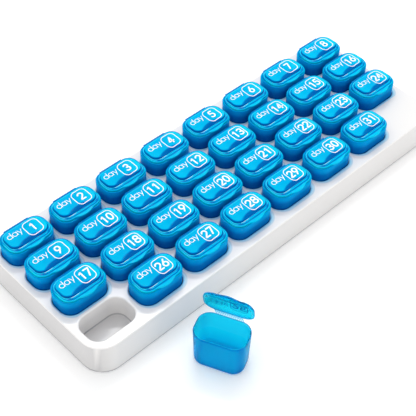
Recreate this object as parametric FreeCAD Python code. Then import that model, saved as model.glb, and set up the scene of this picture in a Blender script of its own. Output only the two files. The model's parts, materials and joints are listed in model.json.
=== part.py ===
import FreeCAD, Part
import math
import os

# Monthly pill organizer: a white tray with a socket for each day of the month and a lidded pod in each socket.
# Millimetres, +Z up. The origin is on the table, under the middle of the tray. +X runs along a row of days and
# +Y points to the back row, which starts with day 1. Day 25 stands in front of the tray with its lid open.

# Days in the grid
days = 31
columns = 8
rows = 4
column_gap = 5.0
row_gap = 4.2
loose_day = 25
days_in_one_node = (7, 15, 23, 31)

# Cup of a pod, measured on its outside
cup_length = 37.0
cup_width = 24.0
cup_height = 29.4
cup_corner_radius = 9.0
cup_rim_above_tray = 11.3
cup_foot_inset = 0.9
cup_wall = 1.2
cup_floor = 1.4
cup_foot_chamfer = 2.2

# Tray
end_border = 5.5
side_border = 7.8
tray_corner_radius = 17.0
tray_edge_chamfer = 1.0
tray_top_thickness = 2.2
socket_clearance = 0.4
socket_lip = 0.9
seat_clearance = 0.2
socket_floor = 1.8
rib_height = 6.2
rib_thickness = 1.8
skirt_thickness = 2.4
blank_core_margin = 2.5

# Lid of a pod
lid_setback = 1.1
lid_gap = 0.1
lid_height = 3.3
lid_flange_thickness = 1.5
table_inset = 2.2
table_draft = 0.4
lid_wall = 1.3
lid_recess_depth = 1.1
tab_length = 16.4
tab_reach = 2.2
tab_thickness = 1.1
scoop_length = 26.4
scoop_width = 11.6
scoop_depth = 1.5
scoop_floor_length = 13.0
scoop_setback = 1.3
scoop_offset = 0.6

# Hinge along the back edge of the lid
hinge_length = 20.0
hinge_bead_radius = 0.7
hinge_setback = 1.1
hinge_leaf = 0.6
saddle_thickness = 0.9
hinge_clearance = 0.12

# Day 25, out of its socket: sideways from it, and in front of the tray
loose_shift = 46.2
loose_gap = 39.5
loose_turn = -64.8
loose_lid_angle = 77.0

# Round forms that every pod repeats are cut as this many chords, because there are so many of them
corner_chords = 3
scoop_chords = 10

column_pitch = cup_length + column_gap
row_pitch = cup_width + row_gap
tray_length = columns * column_pitch - column_gap + 2 * end_border
tray_width = rows * row_pitch - row_gap + 2 * side_border
cup_foot = cup_rim_above_tray - cup_height
socket_bottom = cup_foot - seat_clearance
tray_height = rib_height + socket_floor - socket_bottom
lid_bottom = cup_rim_above_tray + lid_gap
lid_length = cup_length - 2 * lid_setback
lid_width = cup_width - 2 * lid_setback
lid_corner_radius = cup_corner_radius - lid_setback
hinge_y = cup_width / 2 + hinge_setback
hinge_z = cup_rim_above_tray
overrun = 1.0


def outline(length, width, radius, z):
    """Corner points of a rounded rectangle at height z, with each round corner as chords of its arc."""
    points = []
    for quarter, (side_x, side_y) in enumerate(((1, 1), (-1, 1), (-1, -1), (1, -1))):
        for step in range(corner_chords + 1):
            angle = math.radians(90 * (quarter + step / corner_chords))
            x = side_x * (length / 2 - radius) + radius * math.cos(angle)
            y = side_y * (width / 2 - radius) + radius * math.sin(angle)
            points.append(FreeCAD.Vector(x, y, z))
    return points


def cup_outline(z, inset=0.0):
    """Outline of the tapered cup at height z above the tray, drawn in by an inset."""
    inset += cup_foot_inset * (cup_rim_above_tray - z) / cup_height
    return outline(cup_length - 2 * inset, cup_width - 2 * inset, cup_corner_radius - inset, z)


def lid_outline(z, inset=0.0):
    """Outline of the lid at height z above the tray, drawn in by an inset."""
    return outline(lid_length - 2 * inset, lid_width - 2 * inset, lid_corner_radius - inset, z)


def flat_face(points):
    return Part.Face(Part.makePolygon(points + points[:1]))


def stack(outlines):
    """Solid through outlines that lie above each other and share their corner centres, so each wall is flat."""
    faces = [flat_face(outlines[0]), flat_face(outlines[-1])]
    for low, high in zip(outlines, outlines[1:]):
        for side in range(len(low)):
            faces.append(flat_face([low[side - 1], low[side], high[side], high[side - 1]]))
    shell = Part.makeShell(faces)
    shell.sewShape()
    return Part.makeSolid(shell)


def bar(start, length, profile):
    """Bar along X from a start, with a profile of (y, z) points."""
    points = [FreeCAD.Vector(start, y, z) for y, z in profile]
    return flat_face(points).extrude(FreeCAD.Vector(length, 0, 0))


def cup():
    """Tapered cup with a chamfered foot, and the saddle that its hinge bead turns above."""
    body = stack([cup_outline(cup_foot, cup_foot_chamfer), cup_outline(cup_foot + cup_foot_chamfer),
                  cup_outline(cup_rim_above_tray)])
    hollow = stack([cup_outline(cup_foot + cup_floor, cup_wall), cup_outline(cup_rim_above_tray, cup_wall)])
    top = hinge_z - hinge_bead_radius - hinge_clearance
    root = cup_width / 2 - cup_wall / 2
    tip = hinge_y + hinge_bead_radius / 2
    profile = [(root, top - 2 * saddle_thickness), (tip, top - saddle_thickness), (tip, top), (root, top)]
    saddle = bar(-hinge_length / 2, hinge_length, profile)
    return body.fuse(saddle).cut(hollow)


def scoop(table_top):
    """Finger scoop: an elliptical dish that is sunk across the front edge of the raised table."""
    middle_y = scoop_setback - lid_width / 2
    rings = []
    for rise in (0.0, scoop_depth + lid_gap):
        half_length = (scoop_floor_length + (scoop_length - scoop_floor_length) * rise / scoop_depth) / 2
        half_width = half_length * scoop_width / scoop_length
        ring = []
        for step in range(scoop_chords):
            angle = math.radians(360 * (step + 0.5) / scoop_chords)
            x = half_length * math.cos(angle) - scoop_offset
            y = half_width * math.sin(angle) + middle_y
            ring.append(FreeCAD.Vector(x, y, table_top - scoop_depth + rise))
        rings.append(ring)
    return stack(rings)


def tab():
    """Thumb tab: a crescent that stands out past the front of the lid."""
    front = -lid_width / 2
    points = [FreeCAD.Vector(-tab_length / 2, front + lid_wall, lid_bottom)]
    for share in (-1.0, -0.55, 0.0, 0.55, 1.0):
        reach = tab_reach * (1 - share ** 2)
        points.append(FreeCAD.Vector(share * tab_length / 2, front - reach, lid_bottom))
    points.append(FreeCAD.Vector(tab_length / 2, front + lid_wall, lid_bottom))
    return flat_face(points).extrude(FreeCAD.Vector(0, 0, tab_thickness))


def hinge_bead():
    """Thin leaf from the back of the lid, ending in a bead round the hinge axis."""
    root = lid_width / 2 - lid_wall
    leaf_top = lid_bottom + hinge_leaf
    profile = [(root, leaf_top), (root, lid_bottom), (hinge_y - hinge_bead_radius, lid_bottom)]
    for degrees in (260, 320, 20):
        angle = math.radians(degrees)
        y = hinge_y + hinge_bead_radius * math.cos(angle)
        z = hinge_z + hinge_bead_radius * math.sin(angle)
        profile.append((y, z))
    profile.append((hinge_y, leaf_top))
    return bar(-hinge_length / 2, hinge_length, profile)


def lid(hollow):
    """Lid as it lies shut. One that stands open is hollow underneath; the others show only their outside."""
    shoulder = lid_bottom + lid_flange_thickness
    top = lid_bottom + lid_height
    flange = stack([lid_outline(lid_bottom), lid_outline(shoulder)])
    table = stack([lid_outline(shoulder - lid_gap, table_inset), lid_outline(top, table_inset + table_draft)])
    solid = flange.fuse([table.cut(scoop(top)), tab(), hinge_bead()])
    if hollow:
        inset = table_inset + table_draft + lid_wall
        recess_top = lid_bottom + lid_recess_depth
        solid = solid.cut(stack([lid_outline(lid_bottom - lid_gap, inset), lid_outline(recess_top, inset)]))
    return solid.removeSplitter()


def place_of(row, column):
    """Middle of a place in the grid, on the top of the tray."""
    x = (column - (columns - 1) / 2) * column_pitch
    y = ((rows - 1) / 2 - row) * row_pitch
    return FreeCAD.Vector(x, y, tray_height)


def socket_place(day):
    return place_of(*divmod(day - 1, columns))


def socket(day):
    """Space that a day's cup stands in. The lip is on the socket that stands empty, where it shows."""
    levels = [cup_outline(socket_bottom, -socket_clearance)]
    spread = -socket_clearance
    if day == loose_day:
        levels.append(cup_outline(-socket_lip, spread))
        spread -= socket_lip
        levels.append(cup_outline(0, spread))
    levels.append(cup_outline(overrun, spread))
    space = stack(levels)
    space.translate(socket_place(day))
    return space


def slab(inset, height):
    """Block with the tray's rounded outline, drawn in by an inset."""
    length = tray_length - 2 * inset
    width = tray_width - 2 * inset
    block = Part.makeBox(length, width, height, FreeCAD.Vector(-length / 2, -width / 2, 0))
    uprights = [edge for edge in block.Edges if edge.BoundBox.ZLength > height / 2]
    return block.makeFillet(tray_corner_radius - inset, uprights)


def ribs():
    """Ribs under the sockets, along the lines between rows and between columns, down to the table."""
    walls = []
    for line in range(1, rows):
        y = (rows / 2 - line) * row_pitch - rib_thickness / 2
        walls.append(Part.makeBox(tray_length, rib_thickness, rib_height, FreeCAD.Vector(-tray_length / 2, y, 0)))
    for line in range(1, columns):
        x = (line - columns / 2) * column_pitch - rib_thickness / 2
        walls.append(Part.makeBox(rib_thickness, tray_width, rib_height, FreeCAD.Vector(x, -tray_width / 2, 0)))
    return walls


def blank_core():
    """Hollow from below in the last place of the front row, which has no socket."""
    middle = place_of(rows - 1, columns - 1)
    length = cup_length - 2 * blank_core_margin
    width = cup_width - 2 * blank_core_margin
    corner = FreeCAD.Vector(middle.x - length / 2, middle.y - width / 2, 0)
    return Part.makeBox(length, width, tray_height - tray_top_thickness, corner)


def tray():
    """Moulded tray: a rounded slab with sockets from above, and hollow between ribs from below."""
    body = slab(0, tray_height)
    rim = [edge for edge in body.Edges if edge.BoundBox.ZMin > tray_height / 2]
    body = body.makeChamfer(tray_edge_chamfer, rim)
    under = slab(skirt_thickness, rib_height).cut(ribs())
    spaces = [socket(day) for day in range(1, days + 1)]
    return body.cut([under, blank_core()] + spaces)


def seated(shape, day):
    """Copy of a pod's piece, moved to its socket or, on the loose day, to its place on the table."""
    piece = shape.copy()
    if day != loose_day:
        piece.translate(socket_place(day))
        return piece
    x = socket_place(day).x + loose_shift
    y = -tray_width / 2 - loose_gap
    piece.rotate(FreeCAD.Vector(0, 0, 0), FreeCAD.Vector(0, 0, 1), loose_turn)
    piece.translate(FreeCAD.Vector(x, y, -cup_foot))
    return piece


def opened(shape, angle):
    """Copy of the lid, swung up and back about its hinge axis."""
    piece = shape.copy()
    piece.rotate(FreeCAD.Vector(0, hinge_y, hinge_z), FreeCAD.Vector(1, 0, 0), -angle)
    return piece


def save(name, shape):
    shape.exportStep(os.path.join("parts", name + ".step"))


os.makedirs("parts", exist_ok=True)
save("tray", tray())

plain_cup = cup()
shut_lid = lid(hollow=False)
open_lid = opened(lid(hollow=True), loose_lid_angle)
for day in range(1, days + 1):
    save("lid_day_%02d" % day, seated(open_lid if day == loose_day else shut_lid, day))
    if day not in days_in_one_node:
        save("cup_day_%02d" % day, seated(plain_cup, day))
group = [seated(plain_cup, day) for day in days_in_one_node]
save("cups_days_07_15_23_31", Part.makeCompound(group))
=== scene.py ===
import json
import math

import bmesh
import bpy
from mathutils import Matrix, Vector


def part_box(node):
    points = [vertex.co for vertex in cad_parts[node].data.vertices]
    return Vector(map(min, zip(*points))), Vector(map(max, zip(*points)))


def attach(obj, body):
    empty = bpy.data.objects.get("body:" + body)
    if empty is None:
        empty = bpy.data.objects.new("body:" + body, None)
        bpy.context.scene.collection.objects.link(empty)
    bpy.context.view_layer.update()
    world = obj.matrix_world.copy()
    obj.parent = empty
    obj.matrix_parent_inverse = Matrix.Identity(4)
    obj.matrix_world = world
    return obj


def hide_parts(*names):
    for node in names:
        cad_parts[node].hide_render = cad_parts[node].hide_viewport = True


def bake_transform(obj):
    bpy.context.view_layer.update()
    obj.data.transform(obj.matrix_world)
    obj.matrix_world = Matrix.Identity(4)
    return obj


# The monthly pill organizer: a white tray with a socket for each day, and a lidded blue pod in each socket.
# The pod of day 25 stands in front of the tray with its lid open.
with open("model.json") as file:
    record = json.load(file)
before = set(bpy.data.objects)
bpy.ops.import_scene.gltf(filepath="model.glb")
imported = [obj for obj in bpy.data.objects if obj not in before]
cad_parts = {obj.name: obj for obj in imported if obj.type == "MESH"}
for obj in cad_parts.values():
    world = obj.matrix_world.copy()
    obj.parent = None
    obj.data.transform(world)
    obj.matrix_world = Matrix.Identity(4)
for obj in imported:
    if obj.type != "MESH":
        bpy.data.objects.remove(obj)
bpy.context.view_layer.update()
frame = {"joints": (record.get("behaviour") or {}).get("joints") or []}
mm = 0.001


# Tray: one piece of white high-impact polystyrene, injection moulded and glossy. It is open underneath, with
# a skirt round it, and a deep socket with a rounded lip and a flat floor holds each pod. The place after the
# last day has no socket, and is cored out from below.
tray_low, tray_high = (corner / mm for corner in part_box("tray"))
tray_corner_radius = 17.0
tray_edge_radius = 0.9
skirt_thickness = 2.4
skirt_foot_radius = 0.4
skirt_shadow = 1.5
rib_height = 6.2
days = 31
loose_day = 25
columns = 8
rows = 4
row_pitch = 28.2
column_pitch = 42.0
cup_length = 37.0
cup_width = 24.0
cup_height = 29.4
cup_corner_radius = 9.0
cup_straight_half_length = cup_length / 2 - cup_corner_radius
cup_straight_half_width = cup_width / 2 - cup_corner_radius
cup_rim = 11.3
cup_foot = cup_rim - cup_height
cup_foot_inset = 0.9
socket_clearance = 0.4
socket_lip_radius = 1.3
socket_floor_radius = 1.1
socket_middle = -9.0
socket_crease = 1.9
seat_clearance = 0.2
core_length = 32.0
core_width = 19.0
core_corner_radius = 1.5
core_top = 24.1
corner_steps = 9

# Heights or points that are nearer than this count as one.
hair = 0.01


def linear(hex_colour):
    """Linear colour of an sRGB hex colour."""
    parts = [int(hex_colour[place:place + 2], 16) / 255 for place in (1, 3, 5)]
    return [part / 12.92 if part <= 0.04045 else ((part + 0.055) / 1.055) ** 2.4 for part in parts] + [1.0]


def add_node(tree, kind, settings=None, inputs=None):
    """Adds a node with its settings. An input is a value, or an output socket to link from."""
    made = tree.nodes.new(kind)
    for name, value in (settings or {}).items():
        setattr(made, name, value)
    for name, value in (inputs or {}).items():
        if isinstance(value, bpy.types.NodeSocket):
            tree.links.new(value, made.inputs[name])
        else:
            made.inputs[name].default_value = value
    return made


def new_material(name, settings):
    """Material with a Principled surface and nothing else. Returns it with its tree and its surface."""
    material = bpy.data.materials.new(name)
    material.use_nodes = True
    material.node_tree.nodes.clear()
    surface = add_node(material.node_tree, "ShaderNodeBsdfPrincipled", inputs=settings)
    add_node(material.node_tree, "ShaderNodeOutputMaterial", inputs={"Surface": surface.outputs[0]})
    return material, material.node_tree, surface


def rounded(length, width, radius, z, side_step=0.0):
    """Counter-clockwise ring round a rounded rectangle. Its straight sides may be cut into side steps."""
    ring = []
    for quarter, (side_x, side_y) in enumerate(((1, 1), (-1, 1), (-1, -1), (1, -1))):
        middle = Vector((side_x * (length / 2 - radius), side_y * (width / 2 - radius), z))
        for step in range(corner_steps + 1):
            angle = math.radians(90) * (quarter + step / corner_steps)
            ring.append(middle + radius * Vector((math.cos(angle), math.sin(angle), 0)))
    if not side_step:
        return ring
    filled = []
    per_corner = corner_steps + 1
    spans = (width - 2 * radius, length - 2 * radius)
    for quarter in range(4):
        filled += ring[quarter * per_corner:(quarter + 1) * per_corner]
        start, end = filled[-1], ring[(quarter + 1) * per_corner % len(ring)]
        cuts = round(abs(spans[(quarter + 1) % 2]) / side_step)
        filled += [start.lerp(end, cut / cuts) for cut in range(1, cuts)]
    return filled


def fillet(start, corner, end, steps=5):
    """Points of a round corner between two straight stretches of a profile, as a quadratic curve."""
    start, corner, end = Vector(start), Vector(corner), Vector(end)
    return [start.lerp(corner, step / steps).lerp(corner.lerp(end, step / steps), step / steps)
            for step in range(steps + 1)]


def skin(rings):
    """Corners and faces of a wall through rings of as many points each. It faces left of its way up."""
    count = len(rings[0])
    corners = [point for ring in rings for point in ring]
    faces = []
    for low in range(len(rings) - 1):
        for side in range(count):
            ahead = (side + 1) % count
            faces.append((low * count + side, low * count + ahead,
                          (low + 1) * count + ahead, (low + 1) * count + side))
    return corners, faces


def as_mesh(name, parts, material, matrix=Matrix.Identity(4)):
    """Joins parts of corners and faces, in millimetres, into one mesh in metres with merged seams."""
    bm = bmesh.new()
    for corners, faces in parts:
        made = [bm.verts.new(corner) for corner in corners]
        for face in faces:
            bm.faces.new([made[corner] for corner in face])
    bmesh.ops.remove_doubles(bm, verts=bm.verts, dist=0.002)
    for face in bm.faces:
        face.smooth = True
    bm.transform(Matrix.Scale(mm, 4) @ matrix)
    mesh = bpy.data.meshes.new(name)
    bm.to_mesh(mesh)
    bm.free()
    mesh.materials.append(material)
    return mesh


def add_piece(name, mesh):
    piece = bpy.data.objects.new(name, mesh)
    bpy.context.scene.collection.objects.link(piece)
    return piece


def keep_flats(piece):
    """A flat face beside a rounded edge keeps its even shading."""
    flats = piece.modifiers.new("even shading of flat faces", "WEIGHTED_NORMAL")
    flats.keep_sharp = True
    return piece


def flat_with_holes(outer, holes, facing):
    """Corners and faces of a flat face between an outer ring and holes."""
    bm = bmesh.new()
    for ring in [outer] + holes:
        made = [bm.verts.new(point) for point in ring]
        for side in range(len(made)):
            bm.edges.new((made[side - 1], made[side]))
    bmesh.ops.triangle_fill(bm, use_beauty=True, edges=bm.edges, normal=facing)
    for face in bm.faces:
        if face.normal.dot(facing) < 0:
            face.normal_flip()
    bm.verts.index_update()
    corners = [vertex.co.copy() for vertex in bm.verts]
    faces = [[vertex.index for vertex in face.verts] for face in bm.faces]
    bm.free()
    return corners, faces


def spine(ring, half_length):
    """The ring folded onto its long middle line, to close a face without a pole."""
    return [Vector((max(-half_length, min(half_length, point.x)), 0, point.z)) for point in ring]


def moved(part, place):
    corners, faces = part
    return [corner + place for corner in corners], faces


def socket_place(day):
    """Middle of a day's place in the grid, on the top of the tray."""
    row, column = divmod(day - 1, columns)
    x = (column - (columns - 1) / 2) * column_pitch
    y = ((rows - 1) / 2 - row) * row_pitch
    return Vector((x, y, tray_high.z))


def cup_ring(z, outset=0.0, side_step=0.0):
    """Ring round the tapered cup at height z above the tray, pushed out by an outset."""
    reach = outset - cup_foot_inset * (cup_rim - z) / cup_height
    return rounded(cup_length + 2 * reach, cup_width + 2 * reach, cup_corner_radius + reach, z, side_step)


def tray_ring(inset, z):
    length, width = tray_high.x - tray_low.x, tray_high.y - tray_low.y
    return rounded(length - 2 * inset, width - 2 * inset, tray_corner_radius - inset, z)


socket_floor = cup_foot - seat_clearance
lip = fillet((socket_lip_radius, 0), (0, 0), (0, -socket_lip_radius))
foot = fillet((0, socket_floor_radius), (0, 0), (-socket_floor_radius, 0), 4)
socket_rings = [cup_ring(z, socket_clearance + outset) for outset, z in lip]
socket_rings += [cup_ring(z, socket_clearance) for z in (socket_middle, socket_floor + socket_crease)]
socket_rings += [cup_ring(socket_floor + z, socket_clearance + outset) for outset, z in foot]
socket_rings.append(spine(socket_rings[-1], cup_straight_half_length))
socket_wall = skin(socket_rings)
places = [socket_place(day) for day in range(1, days + 1)]

shell_profile = [(skirt_thickness, rib_height)]
shell_profile += fillet((skirt_thickness, skirt_foot_radius), (skirt_thickness, 0),
                        (skirt_thickness - skirt_foot_radius, 0), 3)
shell_profile += fillet((skirt_foot_radius, 0), (0, 0), (0, skirt_foot_radius), 3)
shell_profile.append((0, skirt_shadow))
shell_profile += fillet((0, tray_high.z - tray_edge_radius), (0, tray_high.z),
                        (tray_edge_radius, tray_high.z), 6)
shell_rings = [tray_ring(inset, z) for inset, z in shell_profile]
core_place = socket_place(days + 1).xy.to_3d()
core_rings = [rounded(core_length, core_width, core_corner_radius, z)
              for z in (core_top, core_top, rib_height)]
core_rings[0] = spine(core_rings[0], core_length / 2 - core_corner_radius)
core_rings = [[point + core_place for point in ring] for ring in core_rings]
tray_parts = [
    skin(shell_rings),
    flat_with_holes(shell_rings[-1], [[point + place for point in socket_rings[0]] for place in places],
                    Vector((0, 0, 1))),
    flat_with_holes(shell_rings[0], core_rings[-1:], Vector((0, 0, -1))),
    skin(core_rings),
] + [moved(socket_wall, place) for place in places]


def paint(mesh, matrices, **values_at):
    """Stores values at each corner of the mesh, from functions of the nearest pod's own millimetres."""
    backs = [(Matrix.Scale(mm, 4) @ matrix).inverted() for matrix in matrices]
    nearest = [min((back @ vertex.co for back in backs), key=lambda place: place.xy.length)
               for vertex in mesh.vertices]
    for name, value_at in values_at.items():
        layer = mesh.attributes.new(name, "FLOAT", "POINT")
        layer.data.foreach_set("value", [value_at(place) for place in nearest])


def smooth_step(low, high, value):
    share = max(0.0, min(1.0, (value - low) / (high - low)))
    return share * share * (3 - 2 * share)


# How much painted shade each place of the tray gets: on its sides and left end, along the foot of the skirt,
# and down in the sockets and their creases. The steps in the function pass over from one to the next between
# two places, given in millimetres from the middle of the nearest socket's mouth.
top_shade = 0.06
side_shade = 0.18
left_end_shade = 0.24
skirt_foot_shade = 0.8
socket_shade = 0.1
back_wall_shade = 0.18
crease_shade = 0.7
socket_floor_shade = 0.55


def tray_shade(place):
    """Painted shade on the white plastic, from 0 to 1: none on the rounded top edge, and most where two faces
    meet.
    """
    x, y, z = place
    beside = abs(x) > column_pitch / 2 or abs(y) > row_pitch / 2
    if beside and z < hair - tray_edge_radius:
        # Painted shade on the sides and the left end, and a painted shadow along the foot of the skirt.
        low = smooth_step(skirt_shadow, 0.4 * skirt_shadow, z + tray_high.z)
        return side_shade + left_end_shade * smooth_step(-10.0, -22.0, x) + skirt_foot_shade * low
    if z > -hair:
        return top_shade
    # The rounded outer edge gets no shade, so it shows as a painted highlight beside the faintly shaded top.
    if beside:
        return 0.0
    # Painted shade down in a socket: more on its back wall, most in the crease, and some over its floor.
    depth_and_shade = smooth_step(-1.0, socket_middle, z)
    back = smooth_step(2.0, 9.0, y) * smooth_step(16.0, 6.0, x)
    floor_share = smooth_step(socket_floor + 0.4, socket_floor, z)
    crease = smooth_step(socket_floor + socket_crease, socket_floor + 1.0, z) * (1 - floor_share)
    wall = socket_shade + back_wall_shade * back + crease_shade * crease
    return (1 - floor_share) * depth_and_shade * wall + socket_floor_shade * floor_share


# White polystyrene, moulded in a polished tool: a bright, nearly neutral gloss with a very faint flow
# waviness. Its colour carries painted shade, and painted blue light where a pod stands close to it.
white_plastic, tree, surface = new_material("gloss_white_polystyrene", {
    "Roughness": 0.22, "IOR": 1.57, "Specular IOR Level": 0.5})
spot = add_node(tree, "ShaderNodeTexCoord").outputs["Object"]

# Painted blue light, as if light through a pod fell on the tray beside it: first the middle of the nearest
# place for a pod, then how far the spot is from that pod's corner circles and straight sides. The two places
# that have no pod in them get none, nor do the sockets' depths.
glow_reach = 3.1
glow_start = 0.4
glow_depth = 2.6
glow_shift = Vector((0.5, -1.1, 0))
far = 1000.0
pitch = Vector((column_pitch, row_pitch, far)) * mm
last_middle = Vector(((columns - 1) * column_pitch, (rows - 1) * row_pitch, 0)) / 2 * mm
straight_half = Vector((cup_straight_half_length, cup_straight_half_width, far)) * mm
cell = spot
for operation, other in (("SNAP", pitch), ("ADD", (pitch / 2).xy.to_3d()),
                         ("MAXIMUM", -last_middle), ("MINIMUM", last_middle)):
    cell = add_node(tree, "ShaderNodeVectorMath", {"operation": operation}, {0: cell, 1: other}).outputs[0]
away = spot
for operation, other in (("SUBTRACT", cell), ("SUBTRACT", glow_shift * mm), ("ABSOLUTE", Vector()),
                         ("SUBTRACT", straight_half), ("MAXIMUM", Vector())):
    away = add_node(tree, "ShaderNodeVectorMath", {"operation": operation}, {0: away, 1: other}).outputs[0]
distance = add_node(tree, "ShaderNodeVectorMath", {"operation": "LENGTH"}, {0: away})
painted_glow = add_node(tree, "ShaderNodeMapRange", {"interpolation_type": "SMOOTHSTEP"}, {
    "Value": distance.outputs["Value"], "From Min": (cup_corner_radius + glow_reach) * mm,
    "From Max": (cup_corner_radius + glow_start) * mm}).outputs[0]
height = add_node(tree, "ShaderNodeSeparateXYZ", inputs={0: spot})
on_top = add_node(tree, "ShaderNodeMapRange", {"interpolation_type": "SMOOTHSTEP"}, {
    "Value": height.outputs["Z"], "From Min": (tray_high.z - glow_depth) * mm,
    "From Max": tray_high.z * mm})
factors = [on_top.outputs[0]]
for day in (loose_day, days + 1):
    apart = add_node(tree, "ShaderNodeVectorMath", {"operation": "DISTANCE"}, {
        0: cell, 1: socket_place(day).xy.to_3d() * mm})
    taken = add_node(tree, "ShaderNodeMath", {"operation": "GREATER_THAN"}, {
        0: apart.outputs["Value"], 1: mm})
    factors.append(taken.outputs[0])
for factor in factors:
    painted_glow = add_node(tree, "ShaderNodeMath", {"operation": "MULTIPLY"}, {0: painted_glow, 1: factor}).outputs[0]

# The ramp runs from the painted blue light beside a pod, over the plain white at its middle, to the grey of
# deep painted shade.
shade = add_node(tree, "ShaderNodeAttribute", {"attribute_name": "shade"})
tone = add_node(tree, "ShaderNodeMath", {"operation": "SUBTRACT"}, {0: shade.outputs["Fac"], 1: painted_glow})
white_at = add_node(tree, "ShaderNodeMapRange", inputs={"Value": tone.outputs[0], "From Min": -1.0})
whites = add_node(tree, "ShaderNodeValToRGB", inputs={"Fac": white_at.outputs[0]})
stops = whites.color_ramp.elements
stops[0].position, stops[0].color = 0.0, linear("#88D8F6")
stops[1].position, stops[1].color = 1.0, linear("#A6A6AA")
for place, colour in ((0.06, "#C0E8F8"), (0.22, "#C4DEEC"), (0.5, "#F8F6F4")):
    stops.new(place).color = linear(colour)
tree.links.new(whites.outputs["Color"], surface.inputs["Base Color"])
ripple_length = 18.0
ripple = add_node(tree, "ShaderNodeTexNoise", inputs={
    "Vector": spot, "Scale": 1 / (ripple_length * mm), "Detail": 1.0})
bump = add_node(tree, "ShaderNodeBump", inputs={
    "Height": ripple.outputs["Fac"], "Strength": 0.05, "Distance": 0.4 * mm})
tree.links.new(bump.outputs["Normal"], surface.inputs["Normal"])

tray = add_piece("tray_moulding", as_mesh("tray_moulding", tray_parts, white_plastic))
all_places = places + [socket_place(days + 1)]
paint(tray.data, [Matrix.Translation(place) for place in all_places], shade=tray_shade)
keep_flats(tray)
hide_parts("tray")
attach(tray, "tray")


# Ribs under the tray: moulded with it, along the lines between the rows and columns of sockets. They end
# level with the skirt, so that the tray stands on both.
rib_thickness = 1.8
rib_bite = 0.3


def socket_of(modifier, name):
    """Identifier of a named input of a modifier's node group."""
    return next(item.identifier for item in modifier.node_group.interface.items_tree
                if item.item_type == "SOCKET" and item.in_out == "INPUT" and item.name == name)


def row_of_bars():
    """Nodes that repeat a bar at even steps across its length."""
    tree = bpy.data.node_groups.new("row_of_bars", "GeometryNodeTree")
    tree.interface.new_socket("Bars", in_out="OUTPUT", socket_type="NodeSocketGeometry")
    for name, kind in (("Count", "NodeSocketInt"), ("Step", "NodeSocketVector"),
                       ("Start", "NodeSocketVector"), ("Size", "NodeSocketVector"),
                       ("Turn", "NodeSocketVector"), ("Cuts", "NodeSocketInt"),
                       ("Material", "NodeSocketMaterial")):
        tree.interface.new_socket(name, in_out="INPUT", socket_type=kind)
    given = add_node(tree, "NodeGroupInput")
    bar = add_node(tree, "GeometryNodeMeshCube", inputs={
        "Size": given.outputs["Size"], "Vertices Y": given.outputs["Cuts"]})
    line = add_node(tree, "GeometryNodeMeshLine", inputs={
        "Count": given.outputs["Count"], "Start Location": given.outputs["Start"],
        "Offset": given.outputs["Step"]})
    bars = add_node(tree, "GeometryNodeInstanceOnPoints", inputs={
        "Points": line.outputs["Mesh"], "Instance": bar.outputs["Mesh"], "Rotation": given.outputs["Turn"]})
    real = add_node(tree, "GeometryNodeRealizeInstances", inputs={"Geometry": bars.outputs["Instances"]})
    dressed = add_node(tree, "GeometryNodeSetMaterial", inputs={
        "Geometry": real.outputs["Geometry"], "Material": given.outputs["Material"]})
    add_node(tree, "NodeGroupOutput", inputs={"Bars": dressed.outputs["Geometry"]})
    return tree


def made_by(tree, name, values):
    """Plain mesh that a node tree makes from named values."""
    maker = add_piece(name, bpy.data.meshes.new(name))
    modifier = maker.modifiers.new("maker", "NODES")
    modifier.node_group = tree
    for label, value in values.items():
        modifier[socket_of(modifier, label)] = value
    maker.update_tag()
    evaluated = maker.evaluated_get(bpy.context.evaluated_depsgraph_get())
    mesh = bpy.data.meshes.new_from_object(evaluated)
    bpy.data.objects.remove(maker)
    return mesh


bars = row_of_bars()
inside_length = tray_high.x - tray_low.x - 2 * skirt_thickness + 2 * rib_bite
inside_width = tray_high.y - tray_low.y - 2 * skirt_thickness + 2 * rib_bite
rib_middle = (rib_height + rib_bite) / 2
first_row_line = -row_pitch * (rows - 2) / 2
first_column_line = -column_pitch * (columns - 2) / 2
for name, count, step, start, size in (
        ("tray_ribs_between_rows", rows - 1, (0, row_pitch, 0), (0, first_row_line, rib_middle),
         (inside_length, rib_thickness, rib_height + rib_bite)),
        ("tray_ribs_between_columns", columns - 1, (column_pitch, 0, 0), (first_column_line, 0, rib_middle),
         (rib_thickness, inside_width, rib_height + rib_bite))):
    mesh = made_by(bars, name, {
        "Count": count, "Step": [mm * part for part in step], "Start": [mm * part for part in start],
        "Size": [mm * part for part in size], "Cuts": 2, "Material": white_plastic})
    rib_piece = add_piece(name, mesh)
    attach(rib_piece, "tray")


# Cups: translucent blue polypropylene, injection moulded with a slight draft, a rounded foot and a plain rim
# that stands out round the lid. Each cup drops into its socket and stands on the floor of it. The wall's
# rings lie closer together where its painted light and shade change.
cup_wall = 1.2
cup_floor = 1.5
cup_foot_radius = 3.0
cup_inner_foot_radius = 2.0
rim_radius = 0.5
rim_band = 0.7
outer_levels = (-9.0, -3.0, 0.0, 1.0, 2.5, 5.0, 8.0, 9.8)
inner_levels = (8.0, 4.0, -2.0, -8.0)
hinge_y = cup_width / 2 + 1.1
hinge_z = cup_rim
wall_step = 3.0
group_days = (7, 15, 23, 31)

joint_of = {joint["name"]: joint for joint in frame["joints"]}


def pod_matrix(day):
    """From a pod's own millimetres, with z from the tray's top, to the model's, by way of its hinge."""
    joint = joint_of["hinge_day_%02d" % day]
    along = -Vector(joint["axis"]).normalized()
    up = Vector((0, 0, 1))
    turn = Matrix((along, up.cross(along), up)).transposed()
    place = Vector(joint["pos_m"]) / mm - turn @ Vector((0, hinge_y, hinge_z))
    return Matrix.Translation(place) @ turn.to_4x4()


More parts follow.
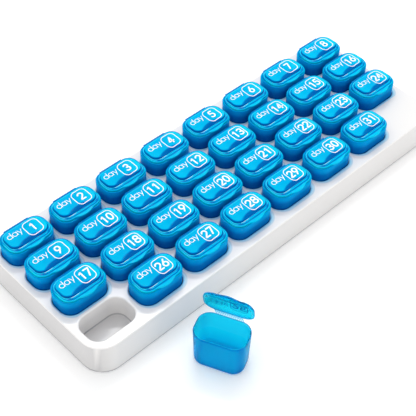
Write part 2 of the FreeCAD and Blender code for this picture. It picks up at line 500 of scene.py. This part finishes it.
cup_profile = fillet((-cup_foot_radius, 0), (0, 0), (0, cup_foot_radius), 7)
cup_rings = [cup_ring(cup_foot + z, outset, wall_step) for outset, z in cup_profile]
cup_rings += [cup_ring(z, 0, wall_step) for z in outer_levels]
rim_profile = fillet((0, -rim_radius), (0, 0), (-rim_radius, 0), 3)
rim_profile += fillet((rim_radius - cup_wall, 0), (-cup_wall, 0), (-cup_wall, -rim_radius), 3)
cup_rings += [cup_ring(cup_rim + z, outset, wall_step) for outset, z in rim_profile]
cup_rings += [cup_ring(z, -cup_wall, wall_step) for z in inner_levels]
inner_profile = fillet((0, cup_inner_foot_radius), (0, 0), (-cup_inner_foot_radius, 0), 5)
cup_rings += [cup_ring(cup_foot + cup_floor + z, outset - cup_wall, wall_step)
              for outset, z in inner_profile]
cup_rings.insert(0, spine(cup_rings[0], cup_straight_half_length))
cup_rings.append(spine(cup_rings[-1], cup_straight_half_length))
cup_part = skin(cup_rings)

# From thick plastic in painted shade to thin plastic in painted light. A brightness of 1 gives the bright
# blue, and the colours after it are for what is brighter still, up to painted highlights.
blues = ("#013C82", "#01509D", "#016BB8", "#0186D0", "#01A0E0", "#04BCEA", "#16D8F4", "#28F0FE", "#C8F8FE")
bright_blue = blues.index("#16D8F4")
palest = (len(blues) - 1) / bright_blue


def see_through_plastic(name, light_depth, see_through=0.0, bending=1.49):
    """Tinted translucent plastic. Its stored brightness is for thickness and for painted light and shade:
    deep where thick or shaded, pale where thin or lit.
    """
    material, tree, surface = new_material(name, {
        "Roughness": 0.2, "IOR": bending, "Specular IOR Level": 0.0, "Coat Roughness": 0.07,
        "Transmission Weight": see_through, "Subsurface Weight": 1.0, "Subsurface Radius": (0.04, 0.9, 1.0),
        "Subsurface Scale": light_depth * mm})
    polish = add_node(tree, "ShaderNodeAttribute", {"attribute_name": "polish"})
    tree.links.new(polish.outputs["Fac"], surface.inputs["Coat Weight"])
    # The stored brightness: thickness together with painted light and shade.
    depth_and_shade = add_node(tree, "ShaderNodeAttribute", {"attribute_name": "brightness"})
    share = add_node(tree, "ShaderNodeMapRange", inputs={"Value": depth_and_shade.outputs["Fac"], "From Max": palest})
    ramp = add_node(tree, "ShaderNodeValToRGB", inputs={"Fac": share.outputs[0]})
    stops = ramp.color_ramp.elements
    stops[0].position, stops[0].color = 0.0, linear(blues[0])
    stops[1].position, stops[1].color = 1.0, linear(blues[-1])
    for place, colour in enumerate(blues[1:-1], start=1):
        stops.new(place / (len(blues) - 1)).color = linear(colour)
    tree.links.new(ramp.outputs["Color"], surface.inputs["Base Color"])
    return material


# How bright each place of a cup is painted, as painted light and shade, with gains and losses that pass over
# between two places, in the pod's own millimetres.
hollow_tone = 0.9
wall_tone = 0.3
upper_wall_gain = 0.34
left_end_gain = 0.08
rim_tone = 0.62
open_hollow_tone = 1.18
open_floor_loss = 0.16
open_wall_tone = 0.8
open_corner_loss = 0.12
open_foot_loss = 0.16
open_rim_tone = 0.6
wall_polish = 0.07
rim_polish = 0.04


def inside_cup(place):
    """True for the faces of the hollow, a little inside the outer wall."""
    reach = cup_foot_inset * (cup_rim - place.z) / cup_height
    past_x = max(0.0, abs(place.x) - cup_straight_half_length)
    past_y = max(0.0, abs(place.y) - cup_straight_half_width)
    from_edge = cup_corner_radius - reach - math.hypot(past_x, past_y)
    return from_edge > cup_wall / 2 and place.z > cup_foot + cup_floor / 2


def seated_cup_brightness(place):
    """Painted shade: deep even blue, since a closed cup in its socket gets little light. Painted light makes
    it paler inside, on the upper wall, at the left end and up at the rim.
    """
    if inside_cup(place):
        return hollow_tone
    if place.z > cup_rim - rim_band:
        return rim_tone
    upper = smooth_step(4.0, 9.8, place.z)
    left_end = smooth_step(-14.5, -18.0, place.x) * smooth_step(0.0, 6.0, place.z)
    return wall_tone + upper_wall_gain * upper + left_end_gain * left_end


def loose_cup_brightness(place):
    """Painted light: bright all through, since light falls into the open cup and through its walls. Painted
    shade deepens its floor inside, its corners and its foot, and the rim is deeper.
    """
    if inside_cup(place):
        return open_hollow_tone - open_floor_loss * smooth_step(-2.0, -15.0, place.z)
    if place.z > cup_rim - rim_band:
        return open_rim_tone
    corner = smooth_step(12.0, 16.5, abs(place.x)) * smooth_step(4.0, 9.0, abs(place.y))
    low = smooth_step(cup_foot + 4.0, cup_foot + 0.5, place.z)
    return open_wall_tone - open_corner_loss * corner - open_foot_loss * low


def cup_polish(place):
    """The mould is lightly blasted, at the rim a little more than on the walls, so a cup mirrors little."""
    return wall_polish + (rim_polish - wall_polish) * smooth_step(10.4, 11.0, place.z)


# Blue polypropylene with walls of about a millimetre: a soft, nearly matt face that glows from the light
# inside it. The open cup stands clear of the tray, so one sees through it.
cup_plastic = see_through_plastic("translucent_blue_polypropylene_cup", light_depth=1.2)
loose_cup_plastic = see_through_plastic(
    "translucent_blue_polypropylene_open_cup", light_depth=1.2, see_through=0.8, bending=1.05)


def add_cup(name, of_days, body, node):
    """Cup, or a group of cups that share one body."""
    matrices = [pod_matrix(day) for day in of_days]
    corners, faces = cup_part
    parts = [([matrix @ corner for corner in corners], faces) for matrix in matrices]
    loose = loose_day in of_days
    mesh = as_mesh(name, parts, loose_cup_plastic if loose else cup_plastic)
    paint(mesh, matrices, brightness=loose_cup_brightness if loose else seated_cup_brightness,
          polish=cup_polish)
    cup = keep_flats(add_piece(name, mesh))
    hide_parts(node)
    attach(cup, body)


for day in range(1, days + 1):
    if day not in group_days:
        add_cup("cup_%02d" % day, (day,), "pod_day_%02d" % day, "cup_day_%02d" % day)
add_cup("cups_07_15_23_31", group_days, "pods_days_07_15_23_31", "cups_days_07_15_23_31")


# Lids: the same translucent plastic, with a raised table that a finger scoop is sunk into at the front, a
# ridge round the table, and a thumb tab. A plug under the lid fits the cup's mouth and holds it shut.
lid_length = 34.8
lid_width = 21.8
lid_corner_radius = 7.9
lid_bottom = cup_rim + 0.1
lid_top = lid_bottom + 3.3
shoulder = lid_bottom + 1.45
lid_skin = 1.2
table_inset = 2.75
table_steps = 14
table_narrower = 1.1
table_set_back = 0.3
table_foot = shoulder + 0.45
tab_half_length = 8.2
tab_reach = 2.2
tab_roundness = 1.2
tab_dish_middle = Vector((0, -11.6))
tab_dish_half_length = 6.6
tab_dish_half_width = 1.25
tab_dish_depth = 0.35
tab_dish_steepness = 1.6
tab_dish_lowest = shoulder - 0.3
scoop_middle = Vector((-0.6, -9.6))
scoop_half_length = 13.2
scoop_half_width = 5.8
scoop_depth = 1.55
scoop_rise = 0.6
scoop_roundness = 2.2
scoop_lowest = shoulder - 0.1
lid_step = 1.1
loose_lid_angle = 77.0
lid_straight_half_length = lid_length / 2 - lid_corner_radius
lid_straight_half_width = lid_width / 2 - lid_corner_radius


def dish_share(x, y, middle, half_length, half_width):
    """How far into an elliptical dish a place is, from 0 at its edge to 1 at its middle."""
    across = math.hypot((x - middle.x) / half_length, (y - middle.y) / half_width)
    return max(0.0, 1 - across)


def scoop_drop(x, y):
    share = min(1.0, dish_share(x, y, scoop_middle, scoop_half_length, scoop_half_width) / scoop_rise)
    return scoop_depth * share ** scoop_roundness


def tab_drop(x, y):
    share = dish_share(x, y, tab_dish_middle, tab_dish_half_length, tab_dish_half_width)
    share = min(1.0, tab_dish_steepness * share)
    return tab_dish_depth * (1 - (1 - share) ** 2)


def tab_bump(x, y):
    """Forward reach of the thumb tab at a place along the front edge."""
    if y > 0 or abs(x) > tab_half_length:
        return 0.0
    return tab_reach * (1 - (x / tab_half_length) ** 2) ** tab_roundness


def table_share(inset):
    """The table is narrower than the lid and set back a little. The rings round it pass over to that."""
    return smooth_step(0.5, 2.1, inset)


def lid_ring(inset, z, tab_share=0.0):
    """Ring round the lid, drawn in by an inset. A share of the tab's reach is added at the front."""
    radius = lid_corner_radius - inset
    ring = rounded(lid_length - 2 * inset, lid_width - 2 * inset, radius, z, lid_step)
    share = table_share(inset)
    for point in ring:
        point.y -= tab_share * tab_bump(point.x, point.y)
        point.y = point.y * (1 - share * table_narrower / (lid_width / 2 - inset)) + share * table_set_back
    return ring


def closing_rings(edge, steps):
    """Rings from an edge ring inwards to the lid's long middle line."""
    middle = spine(edge, lid_straight_half_length)
    return [[start.lerp(end, step / steps) for start, end in zip(edge, middle)]
            for step in range(1, steps + 1)]


# Each point of a profile is an inset from the lid's edge, a height, and a share of the tab's reach. The
# outer one goes round the edge, over the flat shoulder, a groove, a ridge and a second groove, and up the
# side of the table. The one below goes from the edge round the plug and up under the table.
outer_profile = [(1.4, lid_bottom, 0.3), (0.8, lid_bottom, 0.8)]
outer_profile += [(inset, z, 1.0) for inset, z in
                  fillet((0.25, lid_bottom), (0, lid_bottom), (0, lid_bottom + 0.25), 3)]
outer_profile += [(inset, z, 1.0) for inset, z in
                  fillet((0, shoulder - 0.5), (0, shoulder), (0.45, shoulder), 5)]
outer_profile += [(inset, shoulder + rise, share) for inset, rise, share in (
    (0.5, 0, 0.8), (0.54, 0, 0.6), (0.58, 0, 0.42), (0.64, -0.02, 0.26), (0.74, -0.06, 0.12),
    (0.88, -0.04, 0.04), (1.0, 0.1, 0), (1.12, 0.26, 0), (1.28, 0.34, 0), (1.44, 0.26, 0), (1.56, 0.06, 0),
    (1.72, -0.08, 0), (1.9, 0.04, 0))]
outer_profile += [(inset, z, 0) for inset, z in
                  fillet((2.1, lid_top - 0.85), (2.2, lid_top), (table_inset, lid_top), 6)]
top_rings = [lid_ring(*step) for step in outer_profile]
top_rings += closing_rings(top_rings[-1], table_steps)
for ring in top_rings:
    for point in ring:
        if point.z > table_foot:
            point.z = max(scoop_lowest, point.z - scoop_drop(point.x, point.y))
        elif point.z > tab_dish_lowest:
            point.z -= tab_drop(point.x, point.y)

under_profile = [(1.4, lid_bottom, 0.3), (1.35, lid_bottom - 0.5, 0.15), (1.6, lid_bottom - 0.7, 0),
                 (1.95, lid_bottom - 0.5, 0), (2.1, lid_bottom, 0), (2.5, shoulder - 0.5, 0),
                 (3.0, lid_top - lid_skin - 0.35, 0), (3.7, lid_top - lid_skin, 0)]
under_rings = [lid_ring(*step) for step in under_profile]
under_rings += closing_rings(under_rings[-1], table_steps)
for ring in under_rings:
    for point in ring:
        if point.z > lid_bottom:
            point.z = max(lid_bottom + 0.1, point.z - scoop_drop(point.x, point.y))
lid_part = skin(list(reversed(under_rings)) + top_rings[1:])


def inset_of(x, y):
    """Inset of the lid's ring that passes through a place, found in a few steps."""
    inset = 0.0
    for step in range(4):
        share = table_share(inset)
        wide_y = (y - share * table_set_back) / (1 - share * table_narrower / (lid_width / 2 - inset))
        past_x = max(0.0, abs(x) - lid_straight_half_length)
        past_y = max(0.0, abs(wide_y) - lid_straight_half_width)
        inset = min(table_inset, max(0.0, lid_corner_radius - math.hypot(past_x, past_y)))
    return inset


# How bright each place of a lid is painted, as painted light and shade, with gains and losses in the same
# way. Insets are from the lid's edge.
shoulder_tone = 0.53
edge_gain = 0.47
back_edge_loss = 0.5
ridge_gain = 0.45
groove_loss = 0.3
tab_gain = 0.04
# A painted highlight along the front of the ridge.
painted_highlight_gain = 0.6
front_loss = 0.1
table_gain = 0.26
table_left_gain = 0.05
table_right_gain = 0.15
scoop_loss = 0.44
underside_tone = 0.9
plug_loss = 0.45
open_lid_least = 1.02
open_lid_most = 1.1
open_edge_loss = 0.35
face_polish = 0.06
ridge_polish = 0.4


def lid_brightness(place):
    """Painted light and shade: bright on the thin table, most so to its right, deep in the scoop, and in
    between on the shoulder, with a painted highlight along the front of the ridge.
    """
    x, y, z = place
    inset = inset_of(x, y)
    on_table = inset > table_inset - 0.2
    middle_level = lid_top - scoop_drop(x, y) - lid_skin / 2 if on_table else shoulder - 0.4
    if inset > 1.2 and z < middle_level:
        return underside_tone - plug_loss * smooth_step(lid_bottom - 0.1, lid_bottom - 0.5, z)
    edge = smooth_step(0.6, 0.45, inset)
    ridge = smooth_step(0.9, 1.05, inset) * smooth_step(1.65, 1.45, inset)
    groove = smooth_step(1.5, 1.65, inset) * smooth_step(2.2, 2.0, inset)
    groove *= 0.5 + 0.5 * smooth_step(2.0, -6.0, y)
    # A painted highlight along the front left of the ridge.
    painted_highlight = ridge * smooth_step(-13.5, -11.5, x) * smooth_step(-3.0, -7.0, x) * smooth_step(-6.0, -8.0, y)
    tab = smooth_step(-9.8, -10.6, y) * smooth_step(9.0, 6.0, abs(x)) * (1 - edge)
    table = smooth_step(2.1, 2.5, inset)
    front = smooth_step(-6.5, -8.5, y) * (1 - table)
    share = dish_share(x, y, scoop_middle, scoop_half_length, scoop_half_width)
    in_scoop = table * smooth_step(0.0, 0.25, share) * smooth_step(15.0, 3.0, x)
    to_left, to_right = 1 - smooth_step(-11.0, -6.0, x), smooth_step(2.0, 15.0, x)
    tone = shoulder_tone + (edge_gain - back_edge_loss * smooth_step(0.0, 6.0, y)) * edge
    tone += ridge_gain * ridge - groove_loss * groove + tab_gain * tab + painted_highlight_gain * painted_highlight
    tone += table * (table_gain + table_left_gain * to_left + table_right_gain * to_right)
    return max(0.0, min(palest, tone - front_loss * front - scoop_loss * in_scoop))


def loose_lid_brightness(place):
    """Painted light: brighter than on the others, since light falls through the open lid. Its edge is a
    deeper line.
    """
    edge = smooth_step(0.35, 0.2, inset_of(place.x, place.y))
    return max(open_lid_least, min(open_lid_most, lid_brightness(place))) - open_edge_loss * edge


def lid_polish(place):
    """The lid is lightly blasted, and only the ridge and the grooves round its table are polished."""
    inset = inset_of(place.x, place.y)
    return face_polish + ridge_polish * smooth_step(0.75, 0.95, inset) * smooth_step(2.1, 1.8, inset)


# The same plastic in a thin lid: light goes less deep in it, so its lines stay sharp. The open lid is lit
# from both sides, so one sees through it.
lid_plastic = see_through_plastic("translucent_blue_polypropylene_lid", light_depth=0.4)
loose_lid_plastic = see_through_plastic(
    "translucent_blue_polypropylene_open_lid", light_depth=1.0, see_through=0.9, bending=1.05)


def hinge_turn(degrees):
    """Swing of a lid, up and back about its hinge, in the pod's own millimetres."""
    axis = Matrix.Translation((0, hinge_y, hinge_z))
    return axis @ Matrix.Rotation(math.radians(-degrees), 4, "X") @ axis.inverted()


def lid_matrix(day):
    return pod_matrix(day) @ hinge_turn(loose_lid_angle if day == loose_day else 0.0)


for day in range(1, days + 1):
    name = "lid_%02d" % day
    mesh = as_mesh(name, [lid_part], loose_lid_plastic if day == loose_day else lid_plastic, lid_matrix(day))
    paint(mesh, [lid_matrix(day)], brightness=loose_lid_brightness if day == loose_day else lid_brightness,
          polish=lid_polish)
    lid = keep_flats(add_piece(name, mesh))
    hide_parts("lid_day_%02d" % day)
    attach(lid, "lid_day_%02d" % day)


# Hinges: a web along the back edge, moulded in one piece with cup and lid, which the real pod bends when the
# lid turns; each web here is built once, bent to its lid's angle. On the open pod it looks almost white, and
# the slanting ribs moulded across it show as fine stripes. On a shut pod it lies folded and looks like the
# lid.
web_length = 20.0
web_width = 4.4
web_thickness = 0.26
web_cuts = 15
web_rib_count = 15
web_rib_step = 1.32
web_rib_width = 0.6
web_rib_proud = 0.1
web_rib_slant = math.radians(28)
web_cup_end = Vector((11.8, 10.95))
web_cup_pull = Vector((12.7, 10.9))
web_lid_pull = Vector((12.7, 11.8))
web_lid_end = Vector((10.6, 11.72))
web_still_below = 11.0
web_free_above = 11.6
web_free_above_open = 12.6
shut_web_brightness = 0.4
shut_web_polish = 0.1

# Polypropylene a quarter of a millimetre thick: it lets nearly all light through and hardly bends it, so it
# looks like pale film, and a little bluer where a rib makes it thicker.
web_plastic = new_material("thin_translucent_polypropylene_web", {
    "Base Color": linear("#F2FDFF"), "Roughness": 0.1, "IOR": 1.02, "Specular IOR Level": 0.1,
    "Transmission Weight": 0.95})[0]
web_rib_plastic = new_material("translucent_blue_polypropylene_web_rib", {
    "Base Color": linear("#74D6F6"), "Roughness": 0.1, "IOR": 1.02, "Specular IOR Level": 0.1,
    "Transmission Weight": 0.92})[0]


def web_place(flat, open_angle):
    """Where a point of the flat web lies once it is bent, in a cubic curve from the rim to the lid."""
    turn = hinge_turn(open_angle)
    lid_pull = turn @ Vector((0, *web_lid_pull))
    lid_end = turn @ Vector((0, *web_lid_end))
    ends = [Vector((0, *web_cup_end)), Vector((0, *web_cup_pull)), lid_pull, lid_end]
    share = max(0.0, min(1.0, flat.y / web_width))
    rest = 1 - share
    middle = (rest ** 3 * ends[0] + 3 * rest ** 2 * share * ends[1] + 3 * rest * share ** 2 * ends[2]
              + share ** 3 * ends[3])
    way = (rest ** 2 * (ends[1] - ends[0]) + 2 * rest * share * (ends[2] - ends[1])
           + share ** 2 * (ends[3] - ends[2])).normalized()
    return middle + Vector((flat.x, 0, 0)) + flat.z * Vector((0, way.z, -way.y))


def flat_web(count, step, start, size, turn, material):
    """Corners and faces of the flat web or its ribs, in millimetres."""
    mesh = made_by(bars, "flat_web", {
        "Count": count, "Step": (mm * step, 0, 0), "Start": [mm * part for part in start],
        "Size": [mm * part for part in size], "Turn": (0, 0, turn), "Cuts": web_cuts, "Material": material})
    corners = [vertex.co / mm for vertex in mesh.vertices]
    faces = [tuple(face.vertices) for face in mesh.polygons]
    bpy.data.meshes.remove(mesh)
    return corners, faces


web_sheet = flat_web(1, 0, (0, web_width / 2, 0), (web_length, web_width, web_thickness), 0, web_plastic)
web_ribs = flat_web(web_rib_count, web_rib_step, (-web_rib_step * (web_rib_count - 1) / 2, web_width / 2, 0),
                    (web_rib_width, web_width / math.cos(web_rib_slant), web_thickness + 2 * web_rib_proud),
                    web_rib_slant, web_rib_plastic)
for day in range(1, days + 1):
    name = "hinge_web_%02d" % day
    loose = day == loose_day
    parts = [([web_place(corner, loose_lid_angle if loose else 0.0) for corner in corners], faces)
             for corners, faces in (web_sheet, web_ribs)]
    mesh = as_mesh(name, parts, web_plastic if loose else lid_plastic, pod_matrix(day))
    if loose:
        mesh.materials.append(web_rib_plastic)
        sheet_faces = len(web_sheet[1])
        mesh.polygons.foreach_set("material_index",
                                  [int(face.index >= sheet_faces) for face in mesh.polygons])
    else:
        paint(mesh, [pod_matrix(day)], brightness=lambda place: shut_web_brightness,
              polish=lambda place: shut_web_polish)
    mesh.polygons.foreach_set("use_smooth", [False] * len(mesh.polygons))
    web = add_piece(name, mesh)
    levels = (web_still_below, web_free_above_open if loose else web_free_above)
    start, end = (mm * (pod_matrix(day) @ Vector((0, hinge_y, level))) for level in levels)
    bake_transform(web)


# Print on the lids: white ink, pad printed, a hair thick. It says which day the pod is for, in plain letters
# of one stroke width, and the number stands in a frame.
ink_height = 0.05
ink_base = 0.015
stroke_lift = 0.006
frame_stroke = 0.52
word_stroke = 0.44
number_stroke = 1.08
number_lift = 0.3
frame_middle = Vector((6.25, 0.3))
frame_length = 11.6
frame_width = 12.8
frame_radius = 3.5
digit_width = 3.5
digit_height = 6.2
digit_gap = 1.45
word_start = Vector((-12.75, 1.05))
letter_size = 3.35
path_step = 0.5
arc_step = 12
cap_angles = [math.radians(degrees) for degrees in (30, 60, 88)]
cap_narrowest = 0.02


def arc(x, y, radius_x, radius_y, start, end):
    """Points of an arc, in degrees counter-clockwise from the right."""
    count = max(6, round(abs(end - start) / arc_step))
    angles = [math.radians(start + (end - start) * step / count) for step in range(count + 1)]
    return [Vector((x + radius_x * math.cos(angle), y + radius_y * math.sin(angle))) for angle in angles]


def line(*points):
    return [Vector(point) for point in points]


# The strokes of each digit, in millimetres from its lower left corner.
wide, high = digit_width, digit_height
digits = {
    "0": [arc(wide / 2, high / 2, wide / 2, high / 2, 0, 360)],
    "1": [line((0.9, 0.8 * high), (0.62 * wide, high), (0.62 * wide, 0))],
    "2": [arc(wide / 2, high - wide / 2, wide / 2, wide / 2, 165, -35) + line((0.1, 0), (wide, 0))],
    "3": [arc(0.47 * wide, 0.74 * high, 0.45 * wide, 0.26 * high, 145, -90),
          arc(0.47 * wide, 0.26 * high, 0.52 * wide, 0.26 * high, 90, -145)],
    "4": [line((0.72 * wide, 0), (0.72 * wide, high), (-0.02 * wide, 0.28 * high),
               (1.05 * wide, 0.28 * high))],
    "5": [line((0.92 * wide, high), (0.2 * wide, high), (0.12 * wide, 0.56 * high))
          + arc(0.45 * wide, 0.31 * high, 0.53 * wide, 0.31 * high, 125, -145)],
    "6": [arc(wide / 2, 0.3 * high, wide / 2, 0.3 * high, 0, 360),
          line((0.03 * wide, 0.38 * high), (0.72 * wide, high))],
    "7": [line((0, high), (wide, high), (0.3 * wide, 0))],
    "8": [arc(wide / 2, 0.75 * high, 0.43 * wide, 0.25 * high, 0, 360),
          arc(wide / 2, 0.27 * high, 0.52 * wide, 0.27 * high, 0, 360)],
    "9": [arc(wide / 2, 0.7 * high, wide / 2, 0.3 * high, 0, 360),
          line((0.97 * wide, 0.62 * high), (0.28 * wide, 0))],
}

# The strokes of the word, in heights of its small letters.
word = [
    arc(0.5, 0.5, 0.5, 0.5, 0, 360), line((1, 0), (1, 1.55)),
    arc(1.75, 0.5, 0.5, 0.5, 0, 360), line((2.25, 0), (2.25, 1)),
    line((2.55, 1), (2.98, 0.06)), line((3.42, 1), (2.8, -0.4)),
]


def even_steps(points):
    """The same path with more points on its long straight stretches."""
    path = [points[0]]
    for start, end in zip(points, points[1:]):
        cuts = max(1, round((end - start).length / path_step))
        path += [start.lerp(end, cut / cuts) for cut in range(1, cuts + 1)]
    return path


def stroke_part(points, width, order=0):
    """Ribbon of ink along a path on the lid, with round ends. Each later one lies a hair higher."""
    height = ink_height + order * stroke_lift
    path = even_steps(points)
    closed = (path[0] - path[-1]).length < hair
    if closed:
        path = path[:-1]
    sections = []
    for place, point in enumerate(path):
        ahead = path[(place + 1) % len(path)] if closed or place + 1 < len(path) else point
        behind = path[place - 1] if closed or place else point
        way = (ahead - behind).normalized()
        sections.append((point, Vector((-way.y, way.x)), width / 2))
    if not closed:
        for end, sign in ((0, -1), (-1, 1)):
            point, side, half = sections[end]
            way = sign * Vector((side.y, -side.x))
            cap = [(point + way * half * math.sin(angle), side, max(cap_narrowest, half * math.cos(angle)))
                   for angle in cap_angles]
            sections = cap[::-1] + sections if end == 0 else sections + cap
    corners, faces = [], []
    for point, side, half in sections:
        for offset, lift in ((-half, ink_base), (half, ink_base), (half, height), (-half, height)):
            place = point + side * offset
            surface_height = lid_top - scoop_drop(place.x, place.y)
            corners.append(Vector((place.x, place.y, surface_height + lift)))
    last = len(sections) - 1
    for place in range(last + 1 if closed else last):
        here, there = 4 * place, 4 * ((place + 1) % len(sections))
        for side in range(4):
            ahead = (side + 1) % 4
            faces.append((here + side, here + ahead, there + ahead, there + side))
    if not closed:
        faces += [(3, 2, 1, 0), tuple(4 * last + side for side in range(4))]
    return corners, faces


# Pad print ink: a dense, even white with a dull shine.
white_ink = new_material("white_pad_print_ink", {
    "Base Color": linear("#FFFFFF"), "Roughness": 0.4, "Specular IOR Level": 0.3})[0]

# Painted shadow of the ink: a deep blue copy of the print, set under the open lid's thin skin, where the ink
# above lets no light through.
painted_ink_shadow = new_material("painted_shadow_of_white_ink", {
    "Base Color": linear("#068CD0"), "Roughness": 0.6, "Specular IOR Level": 0.2})[0]

frame_ring = [point.xy + frame_middle for point in rounded(frame_length, frame_width, frame_radius, 0)]
for day in range(1, days + 1):
    name = "print_%02d" % day
    strokes = [stroke_part(frame_ring + frame_ring[:1], frame_stroke)]
    for path in word:
        path = [letter_size * point + word_start for point in path]
        strokes.append(stroke_part(path, word_stroke, len(strokes)))
    text = str(day)
    number_width = len(text) * digit_width + (len(text) - 1) * digit_gap
    for place, digit in enumerate(text):
        start = frame_middle + Vector((place * (digit_width + digit_gap) - number_width / 2,
                                       number_lift - digit_height / 2))
        for path in digits[digit]:
            strokes.append(stroke_part([point + start for point in path], number_stroke, len(strokes)))
    mesh = as_mesh(name, strokes, white_ink, lid_matrix(day))
    mesh.polygons.foreach_set("use_smooth", [False] * len(mesh.polygons))
    label = add_piece(name, mesh)
    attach(label, "lid_day_%02d" % day)
    if day == loose_day:
        # Painted shadow of the print: a deep blue copy of it, lowered under the lid's skin.
        below = Vector((0, 0, -lid_skin - 2 * ink_height))
        lowered = [moved(part, below) for part in strokes]
        shadow = add_piece("print_from_below",
                           as_mesh("print_from_below", lowered, painted_ink_shadow, lid_matrix(day)))
        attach(shadow, "lid_day_%02d" % day)


# Floor and light, which are not part of the object: a white table, a white room, a broad soft lamp above and
# a bright strip lamp behind, which draws thin lights along the ridges.
floor_size = 8.0
floor_lift = 0.08
room_light = 0.82


def seen_directly(tree):
    """1 for what the camera sees, also in gloss or through plastic, and 0 for light on the object."""
    ray = add_node(tree, "ShaderNodeLightPath")
    seen = ray.outputs["Is Camera Ray"]
    for kind in ("Is Glossy Ray", "Is Transmission Ray"):
        either = add_node(tree, "ShaderNodeMath", {"operation": "MAXIMUM"}, {0: seen, 1: ray.outputs[kind]})
        seen = either.outputs[0]
    return seen


floor = add_piece("floor", bpy.data.meshes.new("floor"))
half = floor_size / 2
floor.data.from_pydata([(-half, -half, 0), (half, -half, 0), (half, half, 0), (-half, half, 0)], [],
                       [(0, 1, 2, 3)])
floor_white, tree, surface = new_material("white_table", {
    "Base Color": linear("#FFFFFF"), "Roughness": 0.6, "Specular IOR Level": 0.2,
    "Emission Color": linear("#FFFFFF")})
lift = add_node(tree, "ShaderNodeMapRange", inputs={"Value": seen_directly(tree), "To Max": floor_lift})
tree.links.new(lift.outputs[0], surface.inputs["Emission Strength"])
floor.data.materials.append(floor_white)

# The lamps' powers are in watts, and their sizes and places in metres.
for name, watts, length, width, place in (
        ("soft_lamp", 5.0, 1.4, 1.4, (-0.1, 0.3, 1.7)),
        ("strip_lamp", 3.6, 0.65, 0.05, (0.48, 0.42, 1.22))):
    lamp = bpy.data.objects.new(name, bpy.data.lights.new(name, "AREA"))
    lamp.data.energy = watts
    lamp.data.shape = "RECTANGLE"
    lamp.data.size, lamp.data.size_y = length, width
    lamp.location = place
    lamp.rotation_euler = (-lamp.location).to_track_quat("-Z", "Y").to_euler()
    bpy.context.scene.collection.objects.link(lamp)

world = bpy.data.worlds.new("white_room")
bpy.context.scene.world = world
world.use_nodes = True
world.node_tree.nodes.clear()
strength = add_node(world.node_tree, "ShaderNodeMapRange", inputs={
    "Value": seen_directly(world.node_tree), "To Min": room_light, "To Max": 1.0})
sky = add_node(world.node_tree, "ShaderNodeBackground", inputs={
    "Color": linear("#FFFFFF"), "Strength": strength.outputs[0]})
add_node(world.node_tree, "ShaderNodeOutputWorld", inputs={"Surface": sky.outputs[0]})


# Camera: a short telephoto lens, above the front left corner of the tray, tilted by a degree.
camera_place = Vector((-0.3845, -0.3749, 0.5699))
camera_azimuth = math.radians(-44.48)
camera_elevation = math.radians(47.20)
camera_roll = math.radians(1.355)
camera_lens = 90.0

camera = bpy.data.objects.new("camera", bpy.data.cameras.new("camera"))
bpy.context.scene.collection.objects.link(camera)
back = Vector((math.sin(camera_azimuth) * math.cos(camera_elevation),
               -math.cos(camera_azimuth) * math.cos(camera_elevation), math.sin(camera_elevation)))
turn = (-back).to_track_quat("-Z", "Y").to_matrix() @ Matrix.Rotation(camera_roll, 3, "Z")
camera.matrix_world = Matrix.Translation(camera_place) @ turn.to_4x4()
camera.data.lens = camera_lens
camera.data.clip_start, camera.data.clip_end = 0.01, 100.0
bpy.context.scene.camera = camera
bpy.context.scene.view_settings.view_transform = "Standard"
